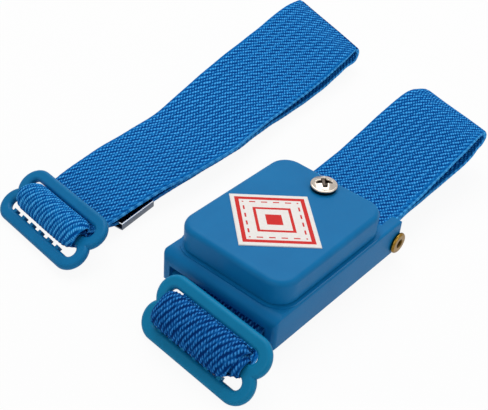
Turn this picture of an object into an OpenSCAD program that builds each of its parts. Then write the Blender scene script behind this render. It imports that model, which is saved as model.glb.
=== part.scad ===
// Cordless grounding wrist strap with its spare elastic band.
// +X runs from the slider end to the riveted end, +Y to the spare band, +Z up.
// The origin lies under the middle of the housing, on the surface that the set lies on.

/* [Elastic band] */
// Width of the band where it lies free
band_w = 25.4; // [22:0.2:27]
// Thickness of the band where it lies free
band_t = 1.4; // [1.2:0.1:1.5]
// Width of the band where it is drawn round a slider bar
wrap_w = 20.4; // [17:0.2:20.8]
// Thickness of the band where it is drawn round a slider bar
wrap_t = 1.1; // [0.9:0.05:1.1]

/* [Housing] */
// Length of the lid
lid_l = 36.9; // [35:0.1:40]
// Width of the lid
lid_w = 29.8; // [29.6:0.2:33]
// Height of the lid above the seam
lid_h = 6; // [5:0.2:8]
// Corner radius of the lid, seen from above
lid_corner_r = 4.8; // [3:0.2:6]
// Rounding of the lid's top edge
lid_edge_r = 1.3; // [0.6:0.1:2]
// Wall of the lid and of the base
wall = 1.8; // [1.4:0.1:2.2]
// Height of the base's shoulder
base_h = 8.5; // [8:0.1:10]
// Height of the rim round the lid, above the shoulder
rim_h = 0.4; // [0.2:0.1:0.8]
// How far the base stands out from the lid at each side
ledge = 1; // [0.9:0.1:2]
// How far the front ears stand out from the lid
front_reach = 2.9; // [2.7:0.1:4]
// How far the rear ears stand out from the lid
rear_reach = 6.8; // [6.6:0.1:9]
// Radius of the base's front top edge
nose_r = 3; // [1:0.1:3]
// Gap between the base and the band under it
seat_gap = 0.9; // [0.8:0.05:1.1]

/* [Strap window at the front] */
// Radius of the moulded bar that the band loops round
bar_r = 1; // [0.8:0.05:1.1]
// Height of that bar's axis above the base's underside
bar_h = 2; // [1.9:0.1:2.2]
// Height of the window above the base's underside
window_h = 5.2; // [5:0.1:6]

/* [Rivet] */
// Outer radius of the tubular rivet
rivet_r = 1.2; // [1:0.05:1.3]
// Radius of the hole through the rivet
rivet_bore_r = 0.7; // [0.4:0.05:0.8]
// Radius of the rivet's rolled heads
rivet_head_r = 2.6; // [2.2:0.1:3]
// Height of the rivet's axis above the base's underside
rivet_h = 3.1; // [2.9:0.1:3.4]
// Distance of the rivet's axis from the rear end of the ears
rivet_inset = 2.05; // [1.95:0.05:2.6]

/* [Discharge screw] */
// Radius of the screw's shank
screw_r = 1.45; // [1.2:0.05:1.5]
// Length of the shank under the head
screw_l = 11; // [10.5:0.5:11.5]
// Radius of the pan head
screw_head_r = 3; // [2.6:0.1:3.4]
// Height of the pan head
screw_head_h = 1.9; // [1.6:0.1:2.4]
// Distance of the screw from the lid's rear edge
screw_inset = 4.3; // [4:0.1:6]
// Side-to-side size of the hexagonal nut
nut_af = 5.5; // [5:0.1:6]
// Thickness of the hexagonal nut
nut_h = 2.4; // [2:0.1:2.6]

/* [Resistor] */
// Radius of the resistor's body
resistor_r = 1.2; // [0.8:0.1:1.6]
// Length of the resistor's body
resistor_l = 6.4; // [4:0.2:8]
// Radius of its wires
wire_r = 0.3; // [0.2:0.05:0.4]

/* [Label] */
// Long diagonal of the rhombic label, across the lid
label_y = 25.9; // [16:0.1:26]
// Short diagonal of the rhombic label, along the lid
label_x = 23.2; // [14:0.1:24]
// Thickness of the label
label_t = 0.25; // [0.1:0.05:0.4]
// Distance of the label's centre from the lid's centre, towards the front
label_shift = 3; // [1:0.1:4]

/* [Slider] */
// Length of a slider across the band
slider_l = 31.4; // [31:0.1:34]
// Width of a slider's rails
rail_w = 3; // [2.6:0.1:3]
// Width of the bar between a slider's two slots
bar_w = 2.4; // [2:0.1:2.6]
// Thickness of a slider
slider_t = 2; // [1.6:0.1:2]
// Width of a slider's two slots
slot_w = 3.3; // [3.2:0.1:3.8]
// Height of the teeth on the near rail
tooth_h = 0.6; // [0.2:0.1:0.6]
// Width of a tooth
tooth_w = 1; // [0.8:0.1:2]
// Distance between the teeth
tooth_pitch = 3.5; // [2.8:0.1:3.6]
// Lean of the main slider, its far rail up
slider_lean = 48; // [46:1:50]
// Lean of the spare band's slider
second_lean = 29; // [27:1:31]

/* [Loops] */
// Distance from the housing's middle to the fold of the wrist loop
loop_reach = 69; // [62:1:76]
// Distance from the housing's middle to the fold of the spare loop
second_reach = 88; // [82:1:96]
// Radius of the band's middle line at the folds
fold_r = 2.1; // [1.6:0.1:2.6]
// Distance from the housing's front to the main slider's bar
slider_out = 9.2; // [8.8:0.1:11]
// How far the main slider lies to the near side
slider_side = 5.5; // [4:0.1:6]
// Distance from the housing's middle to the spare slider's bar, along the band
second_out = 26.3; // [25:0.1:28]
// Distance from the wrist loop to the spare slider's bar, across the band
second_side = 46; // [46:0.1:50]

/* [Contact plate] */
// Length of the steel plate along the band
plate_l = 11.5; // [8:0.5:14]
// Thickness of the steel sheet
plate_t = 0.35; // [0.3:0.05:0.5]
// Width of the lips folded under the band
plate_lip = 4; // [2:0.5:6]
// Turn of the plate and of the band in it
plate_yaw = 6.5; // [0:0.5:8]

/* [Hidden] */
$fn = 64;

// Clearances
fit = 0.05;          // shafts in holes
wrap_gap = 0.1;      // between a bar and the band, and between two layers of band
joint_gap = 0.4;     // between lengths of the band that belong to different bodies
table_gap = 0.05;    // under a slider's near rail
loop_gap = 0.15;     // all round the band inside the contact plate

// Heights
base_z = band_t + seat_gap;
shoulder_z = base_z + base_h;
seam_z = shoulder_z + rim_h;
lid_top_z = seam_z + lid_h;
seam_gap = 0.15;

// Plan of the base
base_w = lid_w + 2 * ledge;
front_x = -lid_l / 2 - front_reach;
rear_x = lid_l / 2 + rear_reach;
rear_wall_x = lid_l / 2 + 1.2;
ear_inner_y = band_w / 2 + 0.5;
rear_edge_r = 1.6;
toe_r = 1.2;
plan_r = 1.4;
side_edge_r = 0.7;
rim_w = 0.75;
cavity_front_x = front_x + 2 * (bar_r + wrap_gap + wrap_t) + 0.5 + wall + nose_r / 3;
cavity_rear_x = rear_wall_x - wall;
cavity_y = base_w / 2 - wall;

// Bar in the front window
bar_x = front_x + bar_r + 0.7;
bar_z = base_z + bar_h;
window_y = band_w / 2 + 0.7;
window_back_x = bar_x + bar_r + wrap_gap + wrap_t + 0.5;

// Rivet
rivet_x = rear_x - rivet_inset;
rivet_z = base_z + rivet_h;
rivet_head_t = 1;

// Discharge screw and what it clamps
screw_x = lid_l / 2 - screw_inset;
boss_r = screw_r + 1.9;
boss_z = lid_top_z - 7.2;
terminal_t = 0.5;
terminal_r = 3.2;
terminal_z = boss_z - terminal_t;
nut_z = terminal_z - nut_h;

// Resistor, lying across the housing
resistor_x = screw_x - 6;
resistor_y = 6;
resistor_z = base_z + wall + resistor_r + 0.6;
tag_t = 0.4;
tag_y = ear_inner_y - tag_t;
tag_end_x = cavity_rear_x - 3;

// Slider outline: two slotted lobes that share the middle bar
rail_u = bar_w / 2 + slot_w + rail_w / 2;
lobe_u = rail_u / 2;
lobe_r = lobe_u + rail_w / 2;
slider_straight = slider_l - 2 * lobe_r;
bevel_r = slider_t * 0.45;
bar_reach = norm([bar_w / 2 - bevel_r, slider_t / 2 - bevel_r]) + bevel_r;
teeth = 6;
tooth_shift = 1;

// Band round a slider bar: an inner, sewn layer and an outer, running one
inner_r = bar_reach + wrap_gap;
outer_r = inner_r + wrap_t + wrap_gap;
inner_mid = inner_r + wrap_t / 2;
outer_mid = outer_r + wrap_t / 2;

// Height at which a slider of that lean stands on its near rail
function stand(lean, roll) = table_gap + rail_u * sin(lean) + (rail_w / 2 - bevel_r) * sin(lean)
    + (slider_t / 2 - bevel_r) * cos(lean) + bevel_r + (slider_l / 2 - rail_w / 2) * abs(sin(roll));

// Main slider: the middle of its bar, and the bar's turn and roll
slider_yaw = -4.3;
slider_roll = 0;
slider_at = [front_x - slider_out, -slider_side, stand(slider_lean, slider_roll)];
wrap_shift = (slider_straight - wrap_w) / 2 - 0.3;
end_shift = -wrap_shift;

// Spare band's slider
second_yaw = -7.2;
second_roll = -2;
second_at = [-second_out, second_side, stand(second_lean, second_roll)];

// Ends of the wraps round the bars, as angles in degrees from +X towards +Z
wrap_from = slider_lean - 6;
second_from = second_lean - 6;
butt = 7;
wrap_to = 275;
end_from = -15;
end_to = 276;

// Spare band
second_low_z = plate_t + loop_gap + wrap_t / 2;
second_y = second_side + 4.6;
plate_band_w = band_w - 2.3;
plate_x = -second_out + 16.5;
plate_y = second_side + 2.3;

// ---- The band's routes: [x, y, z, yaw, roll, width, thickness] of its middle line ----
function unit(v) = v / norm(v);
function width_dir(p) = [-sin(p[3]) * cos(p[4]), cos(p[3]) * cos(p[4]), sin(p[4])];
function place(p) = [p[0], p[1], p[2]];
function between(a, b, c, d, t) = 0.5 * (2 * b + (c - a) * t + (2 * a - 5 * b + 4 * c - d) * t * t
    + (3 * b - a - 3 * c + d) * t * t * t);
// Lifts a point until neither edge of the band is under the table
function rest(p) =
    [p[0], p[1], max(p[2], p[6] / 2 + p[5] / 2 * abs(sin(p[4]))), p[3], p[4], p[5], p[6]];
function smooth(p, steps) = [
    for (i = [0 : len(p) - 2]) for (j = [0 : steps - 1])
        rest(between(p[max(i - 1, 0)], p[i], p[i + 1], p[min(i + 2, len(p) - 1)], j / steps)),
    rest(p[len(p) - 1])];

// A point beside a slider bar, at an angle round the bar and a distance along it
function beside_bar(at, yaw, roll, r, angle, along, width, thickness) =
    let (a = r * cos(angle), h = r * sin(angle))
    let (b = along * cos(roll) - h * sin(roll))
    [at[0] + a * cos(yaw) - b * sin(yaw), at[1] + a * sin(yaw) + b * cos(yaw),
        at[2] + along * sin(roll) + h * cos(roll), yaw, roll, width, thickness];

// Points of the band's middle line on an arc in the XZ plane
function turn(x, y, z, r, from, to, steps, yaw, roll, width, thickness) = [
    for (i = [0 : steps]) let (a = from + (to - from) * i / steps)
        [x + r * cos(a), y, z + r * sin(a), yaw, roll, width, thickness]];

// A point of the band's middle line inside the contact plate or just beside it
function in_plate(u) = [plate_x + u * cos(plate_yaw), plate_y + u * sin(plate_yaw), second_low_z,
    plate_yaw, 0, plate_band_w, wrap_t];

loop_mid = rivet_r + wrap_gap + band_t / 2;
low_z = band_t / 2;
top_z = rivet_z + loop_mid;

// From the sewn tail round the rivet, out to the fold and back under the housing.
// k is the loop's size against one that reaches 69 mm.
k = loop_reach / 69;
wrist_route = concat(
    [[rivet_x + 9.6 * k, 0.3, top_z - 1.2, 0, 0, band_w, band_t],
     [rivet_x + 6.6 * k, 0.3, top_z - 1.3, 0, 0, band_w, band_t],
     [rivet_x + 3.6, 0.1, top_z - 2.6, 0, 0, band_w, band_t]],
    turn(rivet_x, 0, rivet_z, loop_mid, 285, 90, 8, 0, 0, band_w, band_t),
    [[rivet_x + 4, 0, top_z + 0.2, 0, 0, band_w, band_t],
     [rivet_x + 8 * k, 0.1, top_z + 0.3, 0, 0, band_w, band_t],
     [rivet_x + 13 * k, 0.2, top_z + 0.6 * k, 0, 0, band_w, band_t],
     [42 * k, 0.35 * k, top_z + 1.3 * k, 0, 0, band_w, band_t],
     [50 * k, 0.3 * k, top_z + 3 * k, -1, 0, band_w, band_t],
     [58 * k, 0.2 * k, top_z + 4.7 * k, -3, 0.5, band_w, band_t],
     [64 * k, 0.1 * k, top_z + 3.7 * k + fold_r, -8, 1, band_w, band_t]],
    turn(loop_reach, 0.2 * k, top_z + 3.8 * k, fold_r, 90, -90, 6, -11, 1.5, band_w, band_t),
    [[66 * k, 0.5 * k, 7.6 * k, -10, 1.5, band_w, band_t],
     [62 * k, 1.4 * k, 5.2 * k, -8, 1, band_w, band_t],
     [56 * k, 2.6 * k, 2.9 * k, -6, 0.5, band_w, band_t],
     [48 * k, 3.4 * k, low_z + 0.4 * k, -2, 0, band_w, band_t],
     [41 * k, 3.5 * k, low_z, 0, 0, band_w, band_t],
     [34 * k, 3.2 * k, low_z, 2, 0, band_w, band_t],
     [rivet_x + joint_gap / 2, 2.5 * k, low_z, 4, 0, band_w, band_t]]);

// Under the housing and up to the outer wrap. The band touches down in the middle and
// arches up to the base before and behind that.
under_route = [
    [rivet_x - joint_gap / 2, 2.5 * k, low_z, 4, 0, band_w, band_t],
    [13, 1.5, low_z + seat_gap * 0.65, 5, 0, band_w, band_t],
    [4, 0.6, low_z, 5, 0, band_w, band_t],
    [-3, 0, low_z, 5, 0, band_w, band_t],
    [-12, -1.2, low_z + seat_gap * 0.65, 4, 0, band_w - 1.4, band_t],
    [front_x, -2.7, low_z + 0.1, 2, 0, wrap_w + 1.5, band_t],
    [slider_at[0] + 5, -3.9, slider_at[2] - outer_mid - 1.3, 0, 0, wrap_w, wrap_t],
    [slider_at[0] + 2.6, -4.5, slider_at[2] - outer_mid - 0.4, -3, 0, wrap_w, wrap_t],
    beside_bar(slider_at, slider_yaw, slider_roll, outer_mid, wrap_to + butt, wrap_shift,
        wrap_w, wrap_t)];

// From the outer wrap into the window, round the front bar and back to the inner wrap
window_mid = bar_r + wrap_gap + wrap_t / 2;
window_y0 = -2.5;
front_route = concat(
    [beside_bar(slider_at, slider_yaw, slider_roll, outer_mid, wrap_from - butt, wrap_shift,
        wrap_w, wrap_t),
     [slider_at[0] + 4, -4.3, slider_at[2] + 0.9, -3, 0, wrap_w, wrap_t],
     [slider_at[0] + 6.6, -3.3, bar_z + window_mid + 0.1, -2, 0, wrap_w, wrap_t],
     [bar_x - 1.5, window_y0, bar_z + window_mid, 0, 0, wrap_w, wrap_t]],
    turn(bar_x, window_y0, bar_z, window_mid, 90, -90, 8, 0, 0, wrap_w, wrap_t),
    [[bar_x - 2.4, -3.1, bar_z - window_mid, -1, 0, wrap_w, wrap_t],
     [slider_at[0] + 5, -5.5, slider_at[2] - inner_mid - 0.3, -3, 0, wrap_w, wrap_t],
     beside_bar(slider_at, slider_yaw, slider_roll, inner_mid, end_to + butt, end_shift,
        wrap_w, wrap_t)]);

// Spare band: out to the fold above, back along the table.
// m is the loop's size against one that reaches 88 mm.
m = second_reach / 88;
over_y = second_side + 0.3;
over_z = 4.2;
over_end = -second_out + 11.2;
second_route = concat(
    [[over_end, over_y, over_z, -5, 0, band_w - 2.4, band_t],
     [-3 * m, second_side + 0.2, over_z + 1, 0, 0, band_w - 1.4, band_t],
     [9 * m, second_side + 0.1, over_z + 1.4, 3, 0, band_w - 0.5, band_t],
     [22 * m, second_side + 0.8 * m, over_z + 1.6, 4, 0, band_w, band_t],
     [36 * m, second_side + 2.9 * m, 6.5 * m, 4, 4, band_w, band_t],
     [51 * m, second_side + 4.5 * m, 7.6 * m, 4, 11, band_w, band_t],
     [67 * m, second_side + 5.5 * m, 9.3 * m, 4, 15, band_w, band_t],
     [80 * m, second_side + 6.7 * m, 11 * m, 3, 17, band_w, band_t]],
    turn(second_reach, second_side + 8.4 * m, 8.4 * m, fold_r, 90, -90, 6, -4, 15,
        band_w, band_t),
    [[84 * m, second_side + 8.1 * m, 5.8 * m, -4, 12, band_w, band_t],
     [78 * m, second_side + 7.7 * m, 4.5 * m, 0, 9, band_w, band_t],
     [70 * m, second_side + 7.1 * m, 3 * m, 2, 6, band_w, band_t],
     [60 * m, second_side + 6.7 * m, 1.6 * m, 2, 2, band_w, band_t],
     [48 * m, second_side + 6.5 * m, low_z, 3, 0, band_w, band_t],
     [38 * m, second_side + 5.9 * m, low_z, 4, 0, band_w, band_t],
     [30 * m, second_side + 4.9 * m, low_z + 0.2, 2, 0, band_w, band_t],
     [20 * m, second_y, second_low_z, 1, 0, band_w, band_t],
     [9 * m, second_side + 4.3, second_low_z, 4, 0, band_w - 0.6, band_t],
     in_plate(plate_l / 2 + 3), in_plate(0), in_plate(-plate_l / 2 - 0.5)]);

// Spare band's two short lengths beside the slider, and its free tail
second_over_route = [
    beside_bar(second_at, second_yaw, second_roll, outer_mid, second_from - butt, wrap_shift,
        wrap_w, wrap_t),
    [second_at[0] + 3.6, over_y, second_at[2] + 0.2, -7, -1, wrap_w, wrap_t],
    [second_at[0] + 6, over_y, over_z, -6, 0, wrap_w + 0.6, wrap_t],
    [over_end - joint_gap, over_y, over_z, -5, 0, band_w - 2.4, band_t]];
second_under_route = [
    beside_bar(second_at, second_yaw, second_roll, inner_mid, end_to + butt, end_shift,
        wrap_w, wrap_t),
    [second_at[0] + 4.2, second_side + 0.6, second_at[2] - inner_mid - 0.2, -4, -1,
        wrap_w, wrap_t],
    [second_at[0] + 7.4, second_side + 1.4, 2, 2, 0, wrap_w + 1.2, wrap_t],
    in_plate(-plate_l / 2 - 0.5 - joint_gap)];
tail_route = [
    beside_bar(second_at, second_yaw, second_roll, outer_mid, wrap_to + 1, wrap_shift,
        wrap_w, wrap_t),
    [second_at[0] + 2.6, second_side - 0.1, 0.9, -6, 0, wrap_w, wrap_t],
    [second_at[0] + 6, over_y, wrap_t / 2, -4, 0, wrap_w, wrap_t]];

// A flat ribbon along a route, as one closed solid
module ribbon(route, steps) {
    p = smooth(route, steps);
    n = len(p);
    ahead = [for (i = [0 : n - 1]) unit(place(p[min(i + 1, n - 1)]) - place(p[max(i - 1, 0)]))];
    corners = [for (i = [0 : n - 1])
        let (w = width_dir(p[i]), up = unit(cross(ahead[i], w)))
        for (s = [[1, 1], [-1, 1], [-1, -1], [1, -1]])
            place(p[i]) + w * s[0] * p[i][5] / 2 + up * s[1] * p[i][6] / 2];
    sides = [for (i = [0 : n - 2]) for (k = [0 : 3])
        let (a = 4 * i + k, b = 4 * i + (k + 1) % 4)
        each [[a, a + 4, b], [b, a + 4, b + 4]]];
    last = 4 * (n - 1);
    polyhedron(points = corners, faces = concat(sides,
        [[0, 1, 2], [0, 2, 3], [last, last + 2, last + 1], [last, last + 3, last + 2]]));
}

// Frame of a slider bar: the bar runs along Y through the origin
module at_bar(at, yaw, roll) {
    translate(at) rotate([roll, 0, yaw]) children();
}

// A layer of band round a bar, between two angles
module wrap(r, thickness, from, to, along, width) {
    rotate([90, 0, 0]) rotate([0, 0, from]) rotate_extrude(angle = to - from)
        translate([r, -along - width / 2]) square([thickness, width]);
}

// Rounded rectangle, centred
module rounded(x, y, r) {
    square([x - 2 * r, y], center = true);
    square([x, y - 2 * r], center = true);
    for (sx = [-1, 1]) for (sy = [-1, 1])
        translate([sx * (x / 2 - r), sy * (y / 2 - r)]) circle(r);
}

// Half section of a plate with a rounded top edge, from its axis out to r
module edge_section(r, h, round_r) {
    square([r, h - round_r]);
    square([r - round_r, h]);
    translate([r - round_r, h - round_r]) circle(round_r);
}

// A plate with round corners and a rounded top edge
module soft_plate(x, y, h, corner, round_r) {
    for (sx = [-1, 1]) for (sy = [-1, 1])
        translate([sx * (x / 2 - corner), sy * (y / 2 - corner), 0])
            rotate_extrude() edge_section(corner, h, round_r);
    for (s = [0, 180]) rotate([0, 0, s]) {
        translate([x / 2 - corner, y / 2 - corner, 0]) rotate([90, 0, 0])
            linear_extrude(y - 2 * corner) edge_section(corner, h, round_r);
        translate([-x / 2 + corner, y / 2 - corner, 0]) rotate([90, 0, 90])
            linear_extrude(x - 2 * corner) edge_section(corner, h, round_r);
    }
    translate([0, 0, h / 2]) cube([x - 2 * corner, y - 2 * corner, h], center = true);
}

// ---- Housing ----
module housing_lid() {
    color("steelblue") difference() {
        union() {
            difference() {
                translate([0, 0, seam_z + seam_gap])
                    soft_plate(lid_l, lid_w, lid_h - seam_gap, lid_corner_r, lid_edge_r);
                translate([0, 0, seam_z])
                    linear_extrude(lid_h - wall)
                        rounded(lid_l - 2 * wall, lid_w - 2 * wall, lid_corner_r - wall);
            }
            translate([screw_x, 0, boss_z]) cylinder(r = boss_r, h = lid_top_z - boss_z - wall / 2);
            lid_lip();
        }
        translate([screw_x, 0, boss_z - 1]) cylinder(r = screw_r + fit, h = lid_top_z);
    }
}

// Lip that snaps into the base, in two runs along the sides
module lid_lip() {
    lip_y = cavity_y - 0.2;
    for (s = [-1, 1])
        translate([-8, s > 0 ? lip_y - 1.2 : -lip_y, seam_z - 2])
            cube([16, 1.2, 2 + wall]);
}

// Side view of the base, ears and all
module base_profile() {
    l = rear_x - front_x;
    translate([front_x + nose_r, base_h - nose_r]) circle(nose_r);
    translate([front_x + toe_r, toe_r]) circle(toe_r);
    translate([rear_x - rear_edge_r, base_h - rear_edge_r]) circle(rear_edge_r);
    translate([rear_x - toe_r, toe_r]) circle(toe_r);
    translate([front_x + nose_r, toe_r]) square([l - nose_r - rear_edge_r, base_h - toe_r]);
    translate([front_x, toe_r]) square([l - rear_edge_r, base_h - nose_r - toe_r]);
    translate([front_x + toe_r, 0]) square([l - 2 * toe_r, base_h / 2]);
    translate([rear_x - l / 2, toe_r]) square([l / 2, base_h - rear_edge_r - toe_r]);
}

// The base's block, its upright corners and long edges rounded as well as its ends
module base_block() {
    l = rear_x - front_x;
    intersection() {
        translate([0, base_w / 2, base_z]) rotate([90, 0, 0]) linear_extrude(base_w) base_profile();
        translate([(front_x + rear_x) / 2, 0, base_z - 1])
            linear_extrude(base_h + 2) rounded(l, base_w, plan_r);
        translate([front_x - 1, 0, base_z + base_h / 2]) rotate([90, 0, 90])
            linear_extrude(l + 2) rounded(base_w, base_h, side_edge_r);
    }
}

module housing_base() {
    color("steelblue") difference() {
        union() {
            difference() {
                union() {
                    base_block();
                    translate([0, 0, shoulder_z - 1]) linear_extrude(1 + rim_h)
                        rounded(lid_l + 2 * rim_w, lid_w + 2 * rim_w, lid_corner_r + rim_w);
                }
                base_cavity();
                // space between the rear ears
                translate([rear_wall_x, -ear_inner_y, base_z - 1])
                    cube([rear_reach + 1, 2 * ear_inner_y, base_h + 2]);
                // window between the front ears
                translate([front_x - 1, -window_y, base_z - 1])
                    cube([window_back_x - front_x + 1, 2 * window_y, window_h + 1]);
            }
            translate([bar_x, window_y + 1, bar_z]) rotate([90, 0, 0])
                cylinder(r = bar_r, h = 2 * window_y + 2);
        }
        // bore for the rivet through both ears
        translate([rivet_x, base_w, rivet_z]) rotate([90, 0, 0])
            cylinder(r = rivet_r + fit, h = 2 * base_w);
        // slot for the rivet terminal's tail, all along it
        translate([tag_end_x - 0.3, tag_y - 0.1, rivet_z - 1.1])
            cube([rear_wall_x - tag_end_x + 1.3, tag_t + 0.2, 2.2]);
    }
}

module base_cavity() {
    cavity_l = cavity_rear_x - cavity_front_x;
    translate([(cavity_front_x + cavity_rear_x) / 2, 0, base_z + wall])
        linear_extrude(base_h + rim_h) rounded(cavity_l, 2 * cavity_y, lid_corner_r - wall);
}

// ---- Discharge contact ----
module discharge_screw() {
    color("silver") translate([screw_x, 0, lid_top_z]) difference() {
        union() {
            rotate_extrude() intersection() {
                square([screw_head_r, screw_head_h]);
                union() {
                    translate([0, screw_head_h - screw_head_r * 1.7]) circle(screw_head_r * 1.7);
                    square([screw_head_r, screw_head_h / 3]);
                }
            }
            translate([0, 0, -screw_l]) cylinder(r = screw_r, h = screw_l + 0.1);
        }
        for (a = [45, 135]) rotate([0, 0, a])
            translate([-screw_head_r * 0.58, -0.42, screw_head_h - 1.1])
                cube([screw_head_r * 1.16, 0.84, 2]);
        translate([0, 0, screw_head_h - 1.5]) cylinder(r1 = 0.5, r2 = 1.3, h = 1.6);
    }
}

module hex_nut() {
    color("silver") translate([screw_x, 0, nut_z]) difference() {
        cylinder(d = nut_af / cos(30), h = nut_h, $fn = 6);
        translate([0, 0, -1]) cylinder(r = screw_r + fit, h = nut_h + 2);
    }
}

module ring_terminal() {
    color("gold") translate([screw_x, 0, terminal_z]) difference() {
        union() {
            cylinder(r = terminal_r, h = terminal_t);
            translate([resistor_x - screw_x - 0.8, -1, 0])
                cube([screw_x - resistor_x, 2, terminal_t]);
        }
        translate([0, 0, -1]) cylinder(r = screw_r + fit, h = 2);
    }
}

// ---- Resistor between the screw and the rivet ----
module resistor() {
    color("tan") translate([resistor_x, resistor_y + resistor_l / 2, resistor_z]) rotate([90, 0, 0]) {
        cylinder(r = resistor_r * 0.85, h = resistor_l);
        translate([0, 0, resistor_l * 0.04]) cylinder(r = resistor_r, h = resistor_l * 0.24);
        translate([0, 0, resistor_l * 0.72]) cylinder(r = resistor_r, h = resistor_l * 0.24);
    }
}

// A straight length of wire with round ends
module wire(a, b) {
    along = b - a;
    translate(a) sphere(wire_r, $fn = 24);
    translate(b) sphere(wire_r, $fn = 24);
    translate(a) rotate([0, acos(along[2] / norm(along)), atan2(along[1], along[0])])
        cylinder(r = wire_r, h = norm(along), $fn = 24);
}

module resistor_leads() {
    near_y = resistor_y - resistor_l / 2;
    far_y = resistor_y + resistor_l / 2;
    color("lightgray") {
        wire([resistor_x, near_y - wire_r, resistor_z], [resistor_x, 0, resistor_z]);
        wire([resistor_x, 0, resistor_z], [resistor_x, 0, terminal_z - wire_r - 0.02]);
        wire([resistor_x, far_y + wire_r, resistor_z], [resistor_x, tag_y - wire_r - 0.3, resistor_z]);
        wire([resistor_x, tag_y - wire_r - 0.3, resistor_z],
            [tag_end_x + 1, tag_y - wire_r - 0.02, rivet_z]);
    }
}

// Brass tag on the rivet, its tail reaching through the rear wall
module rivet_terminal() {
    color("gold") difference() {
        union() {
            translate([rivet_x, tag_y + tag_t - 0.02, rivet_z]) rotate([90, 0, 0])
                cylinder(r = rivet_r + 1.1, h = tag_t - 0.02);
            translate([tag_end_x, tag_y, rivet_z - 0.9])
                cube([rivet_x - tag_end_x - rivet_r, tag_t - 0.02, 1.8]);
        }
        translate([rivet_x, base_w, rivet_z]) rotate([90, 0, 0])
            cylinder(r = rivet_r + fit, h = 2 * base_w);
    }
}

// Tubular rivet with a rolled head at each end
module strap_rivet() {
    color("darkgoldenrod") translate([rivet_x, 0, rivet_z]) rotate([90, 0, 0]) difference() {
        union() {
            cylinder(r = rivet_r, h = base_w + 1, center = true);
            for (s = [0, 180]) rotate([s, 0, 0]) translate([0, 0, base_w / 2])
                rotate_extrude() {
                    square([rivet_head_r - rivet_head_t / 2, rivet_head_t]);
                    translate([rivet_head_r - rivet_head_t / 2, rivet_head_t / 2])
                        circle(rivet_head_t / 2);
                }
        }
        cylinder(r = rivet_bore_r, h = 2 * base_w, center = true);
        for (s = [0, 180]) rotate([s, 0, 0]) translate([0, 0, base_w / 2 + rivet_head_t * 0.3])
            cylinder(r1 = rivet_bore_r, r2 = rivet_bore_r * 1.9, h = rivet_head_t);
    }
}

module label() {
    color("white") translate([-label_shift, 0.35, lid_top_z]) linear_extrude(label_t)
        polygon([[label_x / 2, 0], [0, label_y / 2], [-label_x / 2, 0], [0, -label_y / 2]]);
}

// ---- Main band ----
module wrist_band() {
    color("dodgerblue") ribbon(wrist_route, 3);
}

module under_run() {
    color("dodgerblue") ribbon(under_route, 4);
}

module front_loop() {
    color("dodgerblue") ribbon(front_route, 3);
}

module slider_wrap() {
    color("dodgerblue") at_bar(slider_at, slider_yaw, slider_roll)
        wrap(outer_r, wrap_t, wrap_from, wrap_to, wrap_shift, wrap_w);
}

module strap_end() {
    color("royalblue") at_bar(slider_at, slider_yaw, slider_roll)
        wrap(inner_r, wrap_t, end_from, end_to, end_shift, wrap_w);
}

// ---- Slider: two rounded loops that share the bar in the middle ----
module rail_section(w) {
    square([w - 2 * bevel_r, slider_t], center = true);
    square([w, slider_t - 2 * bevel_r], center = true);
    for (sx = [-1, 1]) for (sy = [-1, 1])
        translate([sx * (w / 2 - bevel_r), sy * (slider_t / 2 - bevel_r)]) circle(bevel_r);
}

module slider_body() {
    for (u = [-rail_u, rail_u])
        translate([u, slider_straight / 2, 0]) rotate([90, 0, 0])
            linear_extrude(slider_straight) rail_section(rail_w);
    translate([0, slider_straight / 2 + 1, 0]) rotate([90, 0, 0])
        linear_extrude(slider_straight + 2) rail_section(bar_w);
    for (u = [-lobe_u, lobe_u]) for (s = [0, 180]) rotate([0, 0, s])
        translate([u, slider_straight / 2, 0]) rotate_extrude(angle = 180)
            translate([lobe_u, 0]) rail_section(rail_w);
    for (i = [0 : teeth - 1])
        translate([-rail_u + rail_w / 2 - 0.5,
            tooth_shift + (i - (teeth - 1) / 2) * tooth_pitch - tooth_w / 2, -slider_t * 0.35])
            cube([tooth_h + 0.5, tooth_w, slider_t * 0.7]);
}

module slider() {
    color("steelblue") at_bar(slider_at, slider_yaw, slider_roll)
        rotate([0, -slider_lean, 0]) slider_body();
}

// ---- Spare band ----
module second_band() {
    color("dodgerblue") ribbon(second_route, 3);
}

module second_front_run() {
    color("dodgerblue") {
        ribbon(second_over_route, 4);
        ribbon(second_under_route, 4);
    }
}

module second_wrap() {
    color("dodgerblue") {
        at_bar(second_at, second_yaw, second_roll)
            wrap(outer_r, wrap_t, second_from, wrap_to, wrap_shift, wrap_w);
        ribbon(tail_route, 4);
    }
}

module second_strap_end() {
    color("royalblue") at_bar(second_at, second_yaw, second_roll)
        wrap(inner_r, wrap_t, end_from, end_to, end_shift, wrap_w);
}

module second_slider() {
    color("steelblue") at_bar(second_at, second_yaw, second_roll)
        rotate([0, -second_lean, 0]) slider_body();
}

// Steel plate folded round both edges of the spare band's lower layer
module contact_plate() {
    inner_w = plate_band_w + 2 * 2 * loop_gap;
    inner_h = wrap_t + 2 * loop_gap;
    outer_w = inner_w + 2 * plate_t;
    outer_h = inner_h + 2 * plate_t;
    color("lightsteelblue") translate([plate_x, plate_y, 0]) rotate([0, 0, plate_yaw]) difference() {
        translate([-plate_l / 2, -outer_w / 2, 0]) cube([plate_l, outer_w, outer_h]);
        translate([-plate_l / 2 - 1, -inner_w / 2, plate_t]) cube([plate_l + 2, inner_w, inner_h]);
        translate([-plate_l / 2 - 1, -outer_w / 2 + plate_lip, -1])
            cube([plate_l + 2, outer_w - 2 * plate_lip, plate_t + 1.1]);
    }
}

housing_lid();
housing_base();
discharge_screw();
hex_nut();
ring_terminal();
resistor();
resistor_leads();
rivet_terminal();
strap_rivet();
label();
wrist_band();
under_run();
front_loop();
slider_wrap();
strap_end();
slider();
second_band();
second_front_run();
second_wrap();
second_strap_end();
second_slider();
contact_plate();
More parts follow.
